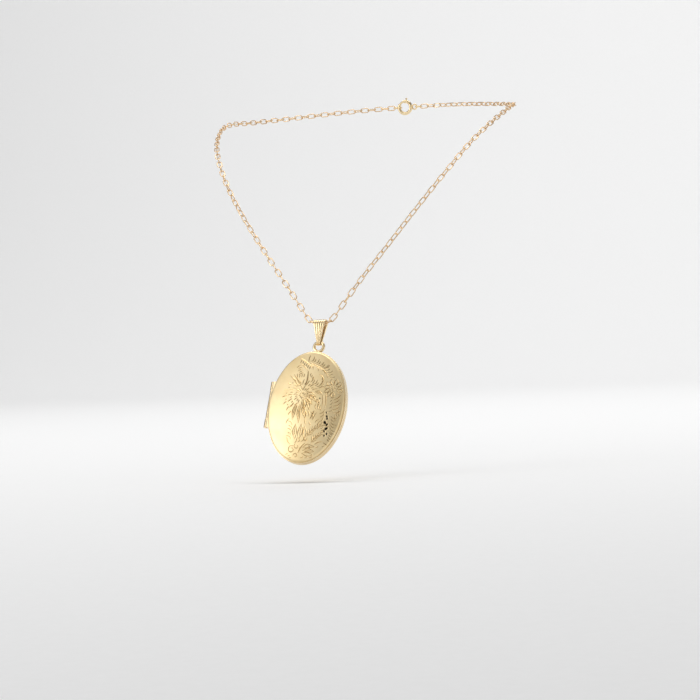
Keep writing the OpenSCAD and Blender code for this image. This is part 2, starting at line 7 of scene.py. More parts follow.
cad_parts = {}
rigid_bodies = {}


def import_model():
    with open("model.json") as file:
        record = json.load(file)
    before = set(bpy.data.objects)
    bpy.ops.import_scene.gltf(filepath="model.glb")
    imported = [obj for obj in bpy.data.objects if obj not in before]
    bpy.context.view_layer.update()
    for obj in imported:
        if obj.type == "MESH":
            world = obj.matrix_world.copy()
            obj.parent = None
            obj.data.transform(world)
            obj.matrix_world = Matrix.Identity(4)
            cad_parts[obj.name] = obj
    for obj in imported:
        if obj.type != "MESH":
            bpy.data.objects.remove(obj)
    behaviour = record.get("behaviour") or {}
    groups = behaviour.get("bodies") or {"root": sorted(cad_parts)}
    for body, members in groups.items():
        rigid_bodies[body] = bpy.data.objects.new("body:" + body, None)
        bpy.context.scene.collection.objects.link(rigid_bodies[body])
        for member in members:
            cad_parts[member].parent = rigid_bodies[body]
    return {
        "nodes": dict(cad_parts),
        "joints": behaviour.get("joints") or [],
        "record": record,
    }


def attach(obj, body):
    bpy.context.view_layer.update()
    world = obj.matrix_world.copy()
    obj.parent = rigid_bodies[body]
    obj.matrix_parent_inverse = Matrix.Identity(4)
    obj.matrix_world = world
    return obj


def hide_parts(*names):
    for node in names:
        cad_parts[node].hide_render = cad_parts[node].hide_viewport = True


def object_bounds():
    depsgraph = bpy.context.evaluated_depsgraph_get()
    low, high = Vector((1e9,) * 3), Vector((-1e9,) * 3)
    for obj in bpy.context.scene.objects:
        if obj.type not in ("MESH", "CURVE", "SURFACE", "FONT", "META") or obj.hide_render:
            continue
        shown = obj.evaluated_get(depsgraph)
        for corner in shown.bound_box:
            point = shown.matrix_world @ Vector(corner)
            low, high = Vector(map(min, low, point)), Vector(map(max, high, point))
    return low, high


for stray in list(bpy.data.objects):
    bpy.data.objects.remove(stray)

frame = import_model()
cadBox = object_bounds()
mm = 0.001
nodes = frame["nodes"]
joints = {joint["name"]: joint for joint in frame["joints"]}
print("frame loaded:", len(nodes), "nodes")

# the case's own axes: right across the front, up along its height, front out of the engraved cover
caseUp = -Vector(joints["cover_open"]["axis"]).normalized()
caseFront = -Vector(joints["locket_sway"]["axis"]).normalized()
caseRight = caseUp.cross(caseFront).normalized()
hingePoint = Vector(joints["cover_open"]["pos_m"])
ringPoint = Vector(joints["locket_sway"]["pos_m"])
bailPoint = Vector(joints["bail_swing"]["pos_m"])


def linearColour(hexText):
    channels = [int(hexText[i:i + 2], 16) / 255 for i in (1, 3, 5)]
    return [c / 12.92 if c <= 0.04045 else ((c + 0.055) / 1.055) ** 2.4 for c in channels] + [1.0]


def addNode(tree, kind, settings=None, inputs=None, links=None):
    # settings are the node's own properties, inputs its socket values, links sockets fed from other nodes
    node = tree.nodes.new(kind)
    for name, value in (settings or {}).items():
        setattr(node, name, value)
    for key, value in (inputs or {}).items():
        node.inputs[key].default_value = value
    for key, source in (links or {}).items():
        tree.links.new(source, node.inputs[key])
    return node


def meshObject(name, verts, faces, smooth=True):
    mesh = bpy.data.meshes.new(name)
    mesh.from_pydata([tuple(v) for v in verts], [], [tuple(f) for f in faces])
    mesh.validate()
    mesh.update()
    obj = bpy.data.objects.new(name, mesh)
    bpy.context.scene.collection.objects.link(obj)
    if smooth:
        mesh.shade_smooth()
    return obj


caseSizes = {"hingeAxis": 14.1}


def onCase(x, y, z):
    # plan point in mm: x across from the middle of the case, y up, z out from the seam
    return (hingePoint + caseRight * ((x + caseSizes["hingeAxis"]) * mm)
            + caseUp * (y * mm) + caseFront * (z * mm))


def bakeGeometry(obj, name):
    # the evaluated result as a plain mesh object, the source is thrown away
    bpy.context.view_layer.update()
    evaluated = obj.evaluated_get(bpy.context.evaluated_depsgraph_get())
    mesh = bpy.data.meshes.new_from_object(evaluated)
    mesh.name = name
    bpy.data.objects.remove(obj)
    result = bpy.data.objects.new(name, mesh)
    bpy.context.scene.collection.objects.link(result)
    mesh.shade_smooth()
    return result


cameraSizes = {"lens": 124.6, "azimuth": 18.8, "elevation": 0.2, "roll": -2.3, "distance": 900.0,
               "target": (-9.6, 3.9, -86.4)}
azimuth = math.radians(cameraSizes["azimuth"])
elevation = math.radians(cameraSizes["elevation"])
backward = Vector((math.sin(azimuth) * math.cos(elevation), -math.cos(azimuth) * math.cos(elevation),
                   math.sin(elevation)))
levelRight = Vector((math.cos(azimuth), math.sin(azimuth), 0))
turned = Matrix((levelRight, backward.cross(levelRight), backward)).transposed()
turned = turned @ Matrix.Rotation(math.radians(cameraSizes["roll"]), 3, "Z")
cameraData = bpy.data.cameras.new("camera")
cameraData.lens = cameraSizes["lens"]
cameraData.sensor_width = 36
cameraData.clip_start = 0.01
camera = bpy.data.objects.new("camera", cameraData)
camera.location = Vector(cameraSizes["target"]) * mm + backward * (cameraSizes["distance"] * mm)
camera.rotation_euler = turned.to_euler()
bpy.context.scene.collection.objects.link(camera)
bpy.context.scene.camera = camera
print("camera set")


def newMaterial(name):
    material = bpy.data.materials.new(name)
    material.use_nodes = True
    material.node_tree.nodes.clear()
    return material, material.node_tree


def metal(name, colour, dark, roughness, scratch, grainSize, engraved=False):
    # colour and dark are the clean and the toned metal, grainSize the rubbed grain in mm
    material, tree = newMaterial(name)
    place = addNode(tree, "ShaderNodeTexCoord")
    cloud = addNode(tree, "ShaderNodeTexNoise",
                    inputs={"Scale": 1 / (6 * mm), "Detail": 3.0, "Roughness": 0.55},
                    links={"Vector": place.outputs["Object"]})
    grain = addNode(tree, "ShaderNodeTexNoise", inputs={"Scale": 1 / (grainSize * mm), "Detail": 2.0},
                    links={"Vector": place.outputs["Object"]})
    tone = addNode(tree, "ShaderNodeMapRange",
                   inputs={"From Min": 0.35, "From Max": 0.7, "To Min": 0.0, "To Max": 0.5},
                   links={"Value": cloud.outputs["Fac"]})
    mixed = addNode(tree, "ShaderNodeMix", {"data_type": "RGBA"},
                    {"A": linearColour(colour), "B": linearColour(dark)},
                    {"Factor": tone.outputs["Result"]})
    rough = addNode(tree, "ShaderNodeMapRange",
                    inputs={"From Min": 0.3, "From Max": 0.7,
                            "To Min": roughness * 0.75, "To Max": roughness * 1.3},
                    links={"Value": grain.outputs["Fac"]})
    if engraved:
        # bright cuts are smoother than the rubbed face; their colour is darkened as painted shade in the
        # grooves, and the darkest strokes are painted near black as painted shade and dark reflection
        cut = addNode(tree, "ShaderNodeAttribute", {"attribute_name": "cut"})
        deep = addNode(tree, "ShaderNodeAttribute", {"attribute_name": "deep"})
        rough = addNode(tree, "ShaderNodeMix", {"data_type": "FLOAT"}, {"B": 0.16},
                        {"Factor": cut.outputs["Fac"], "A": rough.outputs["Result"]})
        paintedCutShade = addNode(tree, "ShaderNodeMix", {"data_type": "RGBA"}, {"B": linearColour("#B8935C")},
                        {"Factor": cut.outputs["Fac"], "A": mixed.outputs["Result"]})
        mixed = addNode(tree, "ShaderNodeMix", {"data_type": "RGBA"}, {"B": linearColour("#1E1812")},
                        {"Factor": deep.outputs["Fac"], "A": paintedCutShade.outputs["Result"]})
    bump = addNode(tree, "ShaderNodeBump", inputs={"Strength": scratch, "Distance": 0.02 * mm},
                   links={"Height": grain.outputs["Fac"]})
    shader = addNode(tree, "ShaderNodeBsdfPrincipled", inputs={"Metallic": 1.0},
                     links={"Base Color": mixed.outputs["Result"], "Roughness": rough.outputs["Result"],
                            "Normal": bump.outputs["Normal"]})
    addNode(tree, "ShaderNodeOutputMaterial", links={"Surface": shader.outputs["BSDF"]})
    return material


# worn gold plate over brass, buffed: clean highlights, a little warmer where it is handled
polishedGold = metal("polishedGoldPlate", "#F2DDB4", "#E0C08C", 0.16, 0.05, 0.25)
# rose-tinted plate, tumbled links: small sharp sparkles along the chain
chainGold = metal("polishedRoseGoldPlate", "#EBCFA9", "#D8B07E", 0.16, 0.05, 0.25)
# brushed to a fine satin: a broad soft sheen without mirror images
satinGold = metal("satinGoldPlate", "#F2DCAE", "#E2C48A", 0.4, 0.25, 0.12)
# the same satin with bright-cut lines that flash beside the duller face, their grooves darkened with painted
# shade
engravedGold = metal("engravedSatinGoldPlate", "#F2DCAE", "#E2C48A", 0.4, 0.25, 0.12, engraved=True)
# drawn wire, left grey: a cool glint inside the clasp
springSteel = metal("drawnSpringSteel", "#B4B6BA", "#8E9196", 0.3, 0.1, 0.1)


def cardMaterial():
    material, tree = newMaterial("blankPhotoCard")
    place = addNode(tree, "ShaderNodeTexCoord")
    fibre = addNode(tree, "ShaderNodeTexNoise", inputs={"Scale": 1 / (0.4 * mm), "Detail": 4.0},
                    links={"Vector": place.outputs["Object"]})
    mixed = addNode(tree, "ShaderNodeMix", {"data_type": "RGBA"},
                    {"A": linearColour("#F3F0E6"), "B": linearColour("#E6E0D0")},
                    {"Factor": fibre.outputs["Fac"]})
    bump = addNode(tree, "ShaderNodeBump", inputs={"Strength": 0.2, "Distance": 0.02 * mm},
                   links={"Height": fibre.outputs["Fac"]})
    shader = addNode(tree, "ShaderNodeBsdfPrincipled", inputs={"Roughness": 0.75},
                     links={"Base Color": mixed.outputs["Result"], "Normal": bump.outputs["Normal"]})
    addNode(tree, "ShaderNodeOutputMaterial", links={"Surface": shader.outputs["BSDF"]})
    return material


def filmMaterial():
    material, tree = newMaterial("clearAcetateFilm")
    place = addNode(tree, "ShaderNodeTexCoord")
    haze = addNode(tree, "ShaderNodeTexNoise", inputs={"Scale": 1 / (3 * mm), "Detail": 3.0},
                   links={"Vector": place.outputs["Object"]})
    rough = addNode(tree, "ShaderNodeMapRange", inputs={"To Min": 0.04, "To Max": 0.16},
                    links={"Value": haze.outputs["Fac"]})
    shader = addNode(tree, "ShaderNodeBsdfPrincipled",
                     inputs={"Base Color": linearColour("#F2F6F7"), "Alpha": 0.25, "IOR": 1.48},
                     links={"Roughness": rough.outputs["Result"]})
    addNode(tree, "ShaderNodeOutputMaterial", links={"Surface": shader.outputs["BSDF"]})
    return material


# uncoated card: matt, faintly fibrous
photoCard = cardMaterial()
# cut acetate sheet: clear, with a slight haze that catches the light
acetateFilm = filmMaterial()
finishes = {"satin_gold": satinGold, "polished_gold": polishedGold, "chain_gold": chainGold,
            "card": photoCard, "clear_film": acetateFilm, "spring_steel": springSteel}
slotOf = {part["node"]: part["material_slot"] for part in frame["record"]["subparts"]}
for nodeName, cadNode in nodes.items():
    cadNode.data.materials.clear()
    cadNode.data.materials.append(finishes[slotOf[nodeName]])
print("materials made")


chainSizes = {"linkLength": 3.6, "linkWidth": 2.05, "wire": 0.4, "stepsRound": 20, "stepsWire": 6}


def linkPlaces(nodeName):
    # middle, long axis and thin axis of every link solid in a CAD node
    mesh = nodes[nodeName].data
    points = np.empty(len(mesh.vertices) * 3)
    mesh.vertices.foreach_get("co", points)
    points = points.reshape(-1, 3)
    corners = np.empty(len(mesh.loops), dtype=np.int64)
    mesh.loops.foreach_get("vertex_index", corners)
    unique, weld = np.unique(np.round(points, 7), axis=0, return_inverse=True)
    triangles = weld.ravel()[corners].reshape(-1, 3)
    label = np.arange(len(unique))
    while True:
        low = label[triangles].min(axis=1)
        nextLabel = label.copy()
        for corner in range(3):
            np.minimum.at(nextLabel, triangles[:, corner], low)
        nextLabel = nextLabel[nextLabel]
        if (nextLabel == label).all():
            break
        label = nextLabel
    places = []
    for island in np.unique(label):
        solid = unique[label == island]
        middle = solid.mean(axis=0)
        values, axes = np.linalg.eigh(np.cov((solid - middle).T))
        places.append((middle, axes[:, 2], axes[:, 0]))
    return places


def linkTree(material):
    tree = bpy.data.node_groups.new("cableChainLinks", "GeometryNodeTree")
    face = tree.interface
    face.new_socket("Geometry", in_out="INPUT", socket_type="NodeSocketGeometry")
    for name, kind in (("Link Length", "Float"), ("Link Width", "Float"), ("Wire", "Float"),
                       ("Steps Round Link", "Int"), ("Steps Round Wire", "Int")):
        face.new_socket(name, in_out="INPUT", socket_type="NodeSocket" + kind)
    face.new_socket("Geometry", in_out="OUTPUT", socket_type="NodeSocketGeometry")
    given = addNode(tree, "NodeGroupInput")
    sideRadius = addNode(tree, "ShaderNodeMath", {"operation": "SUBTRACT"},
                         links={0: given.outputs["Link Width"], 1: given.outputs["Wire"]})
    halfSide = addNode(tree, "ShaderNodeMath", {"operation": "MULTIPLY"}, {1: 0.5},
                       {0: sideRadius.outputs[0]})
    stretch = addNode(tree, "ShaderNodeMath", {"operation": "SUBTRACT"},
                      links={0: given.outputs["Link Length"], 1: given.outputs["Link Width"]})
    halfStretch = addNode(tree, "ShaderNodeMath", {"operation": "MULTIPLY"}, {1: 0.5},
                          {0: stretch.outputs[0]})
    ring = addNode(tree, "GeometryNodeCurvePrimitiveCircle", {"mode": "RADIUS"},
                   links={"Resolution": given.outputs["Steps Round Link"], "Radius": halfSide.outputs[0]})
    position = addNode(tree, "GeometryNodeInputPosition")
    xyz = addNode(tree, "ShaderNodeSeparateXYZ", links={0: position.outputs[0]})
    side = addNode(tree, "ShaderNodeMath", {"operation": "SIGN"}, links={0: xyz.outputs["X"]})
    shift = addNode(tree, "ShaderNodeMath", {"operation": "MULTIPLY"},
                    links={0: side.outputs[0], 1: halfStretch.outputs[0]})
    offset = addNode(tree, "ShaderNodeCombineXYZ", links={"X": shift.outputs[0]})
    oval = addNode(tree, "GeometryNodeSetPosition",
                   links={"Geometry": ring.outputs[0], "Offset": offset.outputs[0]})
    halfWire = addNode(tree, "ShaderNodeMath", {"operation": "MULTIPLY"}, {1: 0.5},
                       {0: given.outputs["Wire"]})
    profile = addNode(tree, "GeometryNodeCurvePrimitiveCircle", {"mode": "RADIUS"},
                      links={"Resolution": given.outputs["Steps Round Wire"], "Radius": halfWire.outputs[0]})
    link = addNode(tree, "GeometryNodeCurveToMesh",
                   links={"Curve": oval.outputs[0], "Profile Curve": profile.outputs[0]})
    smooth = addNode(tree, "GeometryNodeSetShadeSmooth", links={"Geometry": link.outputs[0]})
    along = addNode(tree, "GeometryNodeInputNamedAttribute", {"data_type": "FLOAT_VECTOR"}, {"Name": "along"})
    thin = addNode(tree, "GeometryNodeInputNamedAttribute", {"data_type": "FLOAT_VECTOR"}, {"Name": "thin"})
    turn = addNode(tree, "FunctionNodeAxesToRotation", {"primary_axis": "X", "secondary_axis": "Z"},
                   links={"Primary Axis": along.outputs["Attribute"],
                          "Secondary Axis": thin.outputs["Attribute"]})
    placed = addNode(tree, "GeometryNodeInstanceOnPoints",
                     links={"Points": given.outputs["Geometry"], "Instance": smooth.outputs[0],
                            "Rotation": turn.outputs[0]})
    real = addNode(tree, "GeometryNodeRealizeInstances", links={0: placed.outputs[0]})
    painted = addNode(tree, "GeometryNodeSetMaterial", inputs={"Material": material},
                      links={"Geometry": real.outputs[0]})
    addNode(tree, "NodeGroupOutput", links={0: painted.outputs[0]})
    return tree


def setInputs(modifier, values):
    for item in modifier.node_group.interface.items_tree:
        if item.item_type == "SOCKET" and item.in_out == "INPUT" and item.name in values:
            modifier[item.identifier] = values[item.name]


def makeChain():
    linkNodes = sorted(name for name in nodes if "link" in name)
    places = [place for name in linkNodes for place in linkPlaces(name)]
    mesh = bpy.data.meshes.new("linkPoints")
    mesh.from_pydata([tuple(place[0]) for place in places], [], [])
    for column, name in ((1, "along"), (2, "thin")):
        layer = mesh.attributes.new(name, "FLOAT_VECTOR", "POINT")
        layer.data.foreach_set("vector", np.array([place[column] for place in places]).ravel())
    points = bpy.data.objects.new("linkPoints", mesh)
    bpy.context.scene.collection.objects.link(points)
    modifier = points.modifiers.new("links", "NODES")
    modifier.node_group = linkTree(chainGold)
    setInputs(modifier, {"Link Length": chainSizes["linkLength"] * mm,
                         "Link Width": chainSizes["linkWidth"] * mm,
                         "Wire": chainSizes["wire"] * mm, "Steps Round Link": chainSizes["stepsRound"],
                         "Steps Round Wire": chainSizes["stepsWire"]})
    chain = bakeGeometry(points, "cableChain")
    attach(chain, "chain")
    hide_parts(*linkNodes)
    print("chain:", len(places), "links,", len(chain.data.polygons), "faces")


makeChain()


coverSizes = {"width": 27.4, "height": 39.4, "foot": 1.3, "rise": 2.6, "shoulder": 0.9, "lip": 0.08,
              "sheet": 0.5, "gridAcross": 242, "gridUp": 348, "insideRings": 7}
strokeSizes = {"depth": 0.085, "fine": 0.3, "bold": 0.42, "ridge": 0.4}  # ridge as a share of the depth


def domeProfile(skin):
    # radius and height in mm against the share of the way from the top to the foot
    edge = coverSizes["height"] / 2
    lip, rise, shoulder = coverSizes["lip"], coverSizes["rise"], coverSizes["shoulder"]
    ball = (((edge - shoulder) ** 2 + (rise - lip) ** 2 - shoulder ** 2) / (2 * (rise - lip - shoulder)))
    tangent = math.asin((edge - shoulder) / (ball - shoulder))
    sweep = np.linspace(0, tangent, 400)
    turn = np.linspace(math.pi / 2 - tangent, 0, 60)
    radius = np.concatenate([(ball - skin) * np.sin(sweep),
                             edge - shoulder + (shoulder - skin) * np.cos(turn),
                             [edge - skin]])
    height = np.concatenate([rise - ball + (ball - skin) * np.cos(sweep),
                             lip + (shoulder - skin) * np.sin(turn),
                             [0.0]])
    length = np.concatenate([[0], np.cumsum(np.hypot(np.diff(radius), np.diff(height)))])
    return length / length[-1], radius, height


def domePoints(share, angle, skin):
    way, radius, height = domeProfile(skin)
    r = np.interp(share, way, radius)
    squeeze = (coverSizes["width"] / 2 - skin) / (coverSizes["height"] / 2 - skin)
    return np.stack([r * np.cos(angle) * squeeze, r * np.sin(angle),
                     coverSizes["foot"] + np.interp(share, way, height)], axis=-1)


def smoothWay(points, steps=10):
    # rounded line through a few plan points in mm
    p = np.array(points, dtype=float)
    if len(p) == 2:
        return p[0] + (p[1] - p[0]) * np.linspace(0, 1, steps)[:, None]
    q = np.vstack([2 * p[0] - p[1], p, 2 * p[-1] - p[-2]])
    parts = []
    for i in range(1, len(q) - 2):
        t = np.linspace(0, 1, steps, endpoint=i == len(q) - 3)[:, None]
        a, b, c, d = q[i - 1:i + 3]
        parts.append(0.5 * (2 * b + (c - a) * t + (2 * a - 5 * b + 4 * c - d) * t * t
                            + (3 * b - a - 3 * c + d) * t ** 3))
    return np.vstack(parts)


strokes = []


def cutStroke(points, width=None, depth=1.0, deep=0.0, ends=0.25):
    # ends is the width left at both ends, as a share; the last argument paints the cut near black, as painted
    # shade and dark reflection
    way = smoothWay(points)
    t = np.linspace(0, 1, len(way))
    taper = ends + (1 - ends) * np.sin(np.pi * np.clip(t, 0.02, 0.98)) ** 0.6
    strokes.append((way, (width or strokeSizes["fine"]) / 2 * taper, depth * strokeSizes["depth"], deep))


def polar(centre, angle, radius):
    a = math.radians(angle)
    return (centre[0] + radius * math.cos(a), centre[1] + radius * math.sin(a))


def cutRays(centre, angles, near, far, bend=0, width=None, depth=1.0):
    for k, angle in enumerate(angles):
        reach = far * (1.0 if k % 2 == 0 else 0.82)
        middle = near + (reach - near) * 0.5
        cutStroke([polar(centre, angle, near), polar(centre, angle + bend * 0.4, middle),
                   polar(centre, angle + bend, reach)], width, depth)


def cutLeaf(base, angle, length, wide, bend=0, vein=True, depth=1.0):
    # outline of two bowed strokes that meet at the tip, with a middle vein
    tip = polar(base, angle + bend, length)
    for side in (-1, 1):
        belly = polar(polar(base, angle + bend * 0.5, length * 0.5), angle + 90, side * wide / 2)
        cutStroke([base, belly, tip], depth=depth)
    if vein:
        veinWay = [polar(base, angle, length * 0.2), polar(base, angle + bend * 0.6, length * 0.75)]
        cutStroke(veinWay, depth=depth * 0.8)


def cutFern(points, count, length, lean):
    # a stem with short oblique strokes on both sides
    way = smoothWay(points, 14)
    cutStroke(points, strokeSizes["fine"], 0.8)
    for k in range(count):
        at = (k + 0.5) / count * (len(way) - 1)
        i = min(int(at), len(way) - 2)
        here = way[i] + (way[i + 1] - way[i]) * (at - i)
        heading = math.degrees(math.atan2(*(way[i + 1] - way[i])[::-1]))
        reach = length * (1 - 0.45 * k / count)
        for hand in (-1, 1):
            start = polar(here, heading + hand * lean, 0.25)
            cutStroke([start, polar(start, heading + hand * lean * 0.75, reach)])


def cutScroll(centre, radius, start, turn):
    # a curl that winds in to about a third of its radius
    angles = np.linspace(start, start + turn, 8)
    sizes = np.linspace(radius, radius * 0.35, 8)
    cutStroke([polar(centre, a, r) for a, r in zip(angles, sizes)], strokeSizes["fine"])


def cutRow(start, end, angle, length, fan=0, width=None, depth=1.0, bow=12, gap=0.8):
    # a row of like strokes side by side, gap mm apart, their heading turning by fan along the row
    along = math.degrees(math.atan2(end[1] - start[1], end[0] - start[0]))
    clear = math.dist(start, end) * abs(math.sin(math.radians(angle + fan / 2 - along)))
    count = max(round(clear / gap), 1) + 1
    for k in range(count):
        t = k / (count - 1)
        foot = (start[0] + (end[0] - start[0]) * t, start[1] + (end[1] - start[1]) * t)
        head = angle + fan * t
        reach = length * (1.0 if k % 2 == 0 else 0.8)
        cutStroke([foot, polar(foot, head - bow, reach * 0.5), polar(foot, head, reach)], width, depth)


def drawFlowers():
    fine, bold = strokeSizes["fine"], strokeSizes["bold"]
    heart = (-1.2, 3.4)
    # the large flower: dashes to the left, open rays above, petals to the right and long leaves below
    cutRays(heart, range(20, 380, 40), 0.5, 1.4, 10, fine)
    cutRays(heart, range(100, 262, 18), 1.8, 3.4, 6, fine)
    cutRays(heart, range(106, 252, 12), 3.8, 5.6, 5, fine)
    cutRays(heart, range(124, 232, 10), 6.0, 7.6, 4, fine, 0.8)
    cutRays(heart, range(28, 104, 16), 1.8, 3.4, -8, fine)
    cutRays(heart, range(34, 104, 11), 3.8, 5.8, -6, fine)
    for k, angle in enumerate(range(16, -76, -18)):
        cutLeaf(polar(heart, angle, 1.4), angle + 10, 4.6 if k % 2 else 3.8, 1.4, -34, vein=k % 2 == 1)
    for base, angle, length in (((-2.8, 0.6), -104, 6.0), ((-1.6, 0.2), -92, 6.6), ((-0.4, 0.4), -80, 5.4)):
        cutLeaf(base, angle, length, 1.1, 8)
    cutRow((-3.8, 0.2), (-4.6, -5.0), 226, 2.2, 16, fine, 0.6, gap=1.1)
    # stems that rise from the flower
    cutStroke([(-2.3, 6.6), (-4.0, 8.8), (-5.8, 10.8)], bold, 1.4)
    cutStroke([(-3.3, 6.4), (-5.0, 8.4), (-7.2, 10.4)], fine, 0.8)
    cutStroke([(-0.8, 6.6), (-0.5, 9.4), (-0.8, 12.4)], bold, 1.3)
    cutStroke([(-1.3, 15.4), (-1.5, 16.8), (-1.2, 18.2)], fine, 0.8)
    cutRow((-4.4, 9.6), (-2.0, 10.0), 104, 1.6, -10, fine, 0.8)
    cutRow((0.8, 8.2), (4.0, 6.4), 70, 2.2, -30, fine, 0.9, bow=20)
    # veined leaf at the top and the petals beside it
    cutStroke([(-4.7, 16.9), (-2.3, 15.6), (0.6, 13.6)], bold, 1.3)
    cutStroke([(-4.6, 15.4), (-2.8, 14.0), (-0.8, 12.4)], fine, 1.0)
    cutRow((-3.9, 16.3), (-0.3, 14.0), 250, 1.2, 8, fine, 0.9)
    cutRow((-3.8, 14.2), (-2.4, 11.6), 210, 1.8, 0, fine, 0.7)
    cutRow((-0.8, 15.7), (4.0, 13.9), 62, 2.4, -30, fine, 1.0, bow=26)
    cutRow((-0.4, 14.6), (4.0, 12.9), -50, 2.0, 10, fine, 0.9, bow=-22)
    cutStroke([(-0.6, 15.2), (1.8, 14.4), (5.0, 12.9)], bold, 1.0)
    cutRow((4.6, 13.6), (6.8, 10.8), 40, 2.4, -34, fine, 1.0, bow=22)
    cutStroke([(4.4, 13.2), (5.8, 12.0), (6.6, 10.4)], fine, 0.9)
    cutRow((0.5, 11.6), (1.6, 10.4), -96, 1.2, 0, fine, 0.7)
    cutStroke([(3.4, 11.4), (4.7, 10.6), (5.2, 9.2), (4.9, 7.8)], bold, 1.2)
    cutRow((5.6, 9.6), (6.0, 7.0), 176, 1.2, 10, fine, 0.8)
    # round flower near the right edge
    middle = (9.4, 6.8)
    for angle in range(-20, 300, 32):
        cutLeaf(polar(middle, angle, 1.1), angle, 2.5, 1.2, 8, vein=False)
    cutRays(middle, range(0, 360, 60), 0.3, 0.9, 10, fine)
    cutRow((10.1, 2.8), (10.3, -1.8), 44, 3.0, -22, bold, 1.1, gap=0.95)
    cutRow((9.0, 3.2), (9.2, -1.4), 60, 1.3, -24, fine, 0.9)
    cutRow((11.2, -2.4), (12.4, -0.6), -66, 2.2, -10, fine, 0.8)
    cutStroke([(6.9, 4.9), (7.4, 2.6), (7.6, -0.2)], bold, 1.6)
    cutStroke([(6.0, 4.2), (6.4, 2.2), (6.5, 0.0)], fine, 0.8)
    cutLeaf((3.2, 5.0), 10, 2.6, 1.1, -24)
    cutLeaf((4.0, 2.4), -30, 2.6, 1.0, -30)
    cutRow((4.3, 0.9), (5.9, 0.4), -80, 2.2, 10, fine, 0.8, bow=20)


def drawFoliage():
    fine, bold = strokeSizes["fine"], strokeSizes["bold"]
    # polished leaves in a column, cut deeper and painted near black as painted shade and dark reflection
    for x, y, angle, length, width in (
            (8.3, -1.7, -70, 0.5, 0.5), (8.6, -3.0, -60, 0.6, 0.7), (8.9, -4.2, 80, 0.4, 0.7),
            (8.2, -5.2, -50, 0.6, 1.1), (9.3, -5.8, -120, 0.5, 0.8), (9.4, -7.2, -140, 0.8, 1.0),
            (8.4, -8.2, -60, 0.5, 0.7), (9.6, -8.9, -100, 0.6, 0.7), (8.7, -10.1, 80, 0.4, 0.7),
            (5.2, 2.9, -40, 0.2, 0.5)):
        cutStroke([(x, y), polar((x, y), angle, length)], width, 1.2, 1.0, 0.6)
    cutStroke([(7.4, -6.6), (8.2, -6.4), (9.9, -6.7)], fine, 1.0)
    cutRow((10.1, -3.0), (10.6, -8.0), -14, 2.2, -24, fine, 0.9, bow=20)
    cutRow((10.4, -8.6), (9.9, -11.0), -40, 1.3, 0, fine, 0.8)
    cutRow((7.7, -0.8), (7.5, -5.0), 228, 2.4, 8, fine, 0.9, bow=-20)
    cutRow((6.0, -4.6), (7.0, -6.6), 230, 1.6, 10, fine, 0.9)
    # strokes under the flower, then ferns that climb to the right
    cutRow((0.6, -1.7), (2.8, -2.1), -78, 2.6, 14, fine, 0.9, bow=-18)
    cutStroke([(3.0, -4.8), (3.5, -3.2), (4.1, -1.5)], bold, 1.4)
    cutStroke([(3.9, -5.0), (4.4, -3.4), (5.0, -2.1)], fine, 1.0)
    cutRow((1.2, -4.9), (2.8, -5.6), -74, 1.8, 16, fine, 0.9)
    cutFern([(2.6, -10.9), (4.2, -8.6), (6.2, -6.9)], 5, 1.7, 40)
    cutFern([(4.4, -13.0), (5.8, -10.8), (7.6, -9.4)], 5, 1.6, 40)
    cutLeaf((-1.9, -6.8), -94, 5.4, 1.5, 8)
    cutLeaf((0.2, -6.6), -86, 5.6, 1.6, -8)
    cutLeaf((1.4, -7.4), -76, 4.6, 1.2, -8, vein=False)
    cutRow((-3.0, -7.4), (-2.8, -12.2), 142, 2.4, 8, fine, 0.7, bow=20, gap=1.0)
    cutStroke([(-4.6, -11.4), (-4.0, -13.0), (-2.9, -14.0)], fine, 0.7)
    cutRow((-1.4, -13.4), (2.0, -12.4), 72, 1.9, -24, fine, 0.9, bow=20)
    cutRow((2.8, -12.2), (4.6, -14.2), 150, 1.2, 10, fine, 0.8, bow=-20)
    cutRow((6.9, -6.9), (7.6, -9.0), 30, 1.2, 0, fine, 0.9)
    # sheaf of long bowed leaves at the foot
    cutStroke([(0.2, -16.7), (1.0, -14.8), (2.4, -13.1)], bold, 1.2)
    cutLeaf((1.7, -14.9), 40, 4.4, 1.4, -30, vein=False)
    cutLeaf((1.8, -15.7), 16, 4.2, 1.3, -16)
    cutLeaf((1.6, -16.7), -2, 4.0, 1.3, -2, vein=False)
    cutRow((1.2, -18.3), (4.4, -18.0), 30, 1.3, 0, fine, 0.8)
    cutStroke([(5.8, -13.2), (7.0, -12.4), (8.4, -12.0)], bold, 1.3)
    cutStroke([(8.6, -12.4), (9.6, -12.8), (10.4, -13.4)], fine, 0.9)
    cutRow((6.2, -14.4), (8.4, -13.8), 38, 1.4, 0, fine, 0.8)
    for centre, radius, start, turn in (((-2.3, -15.6), 1.4, 60, 400), ((-0.6, -17.6), 0.9, 200, -330),
                                        ((-0.5, -14.4), 1.0, 120, 300)):
        cutScroll(centre, radius, start, turn)
    cutRow((-3.4, -17.2), (-1.9, -18.5), 205, 1.0, -20, fine, 0.7)


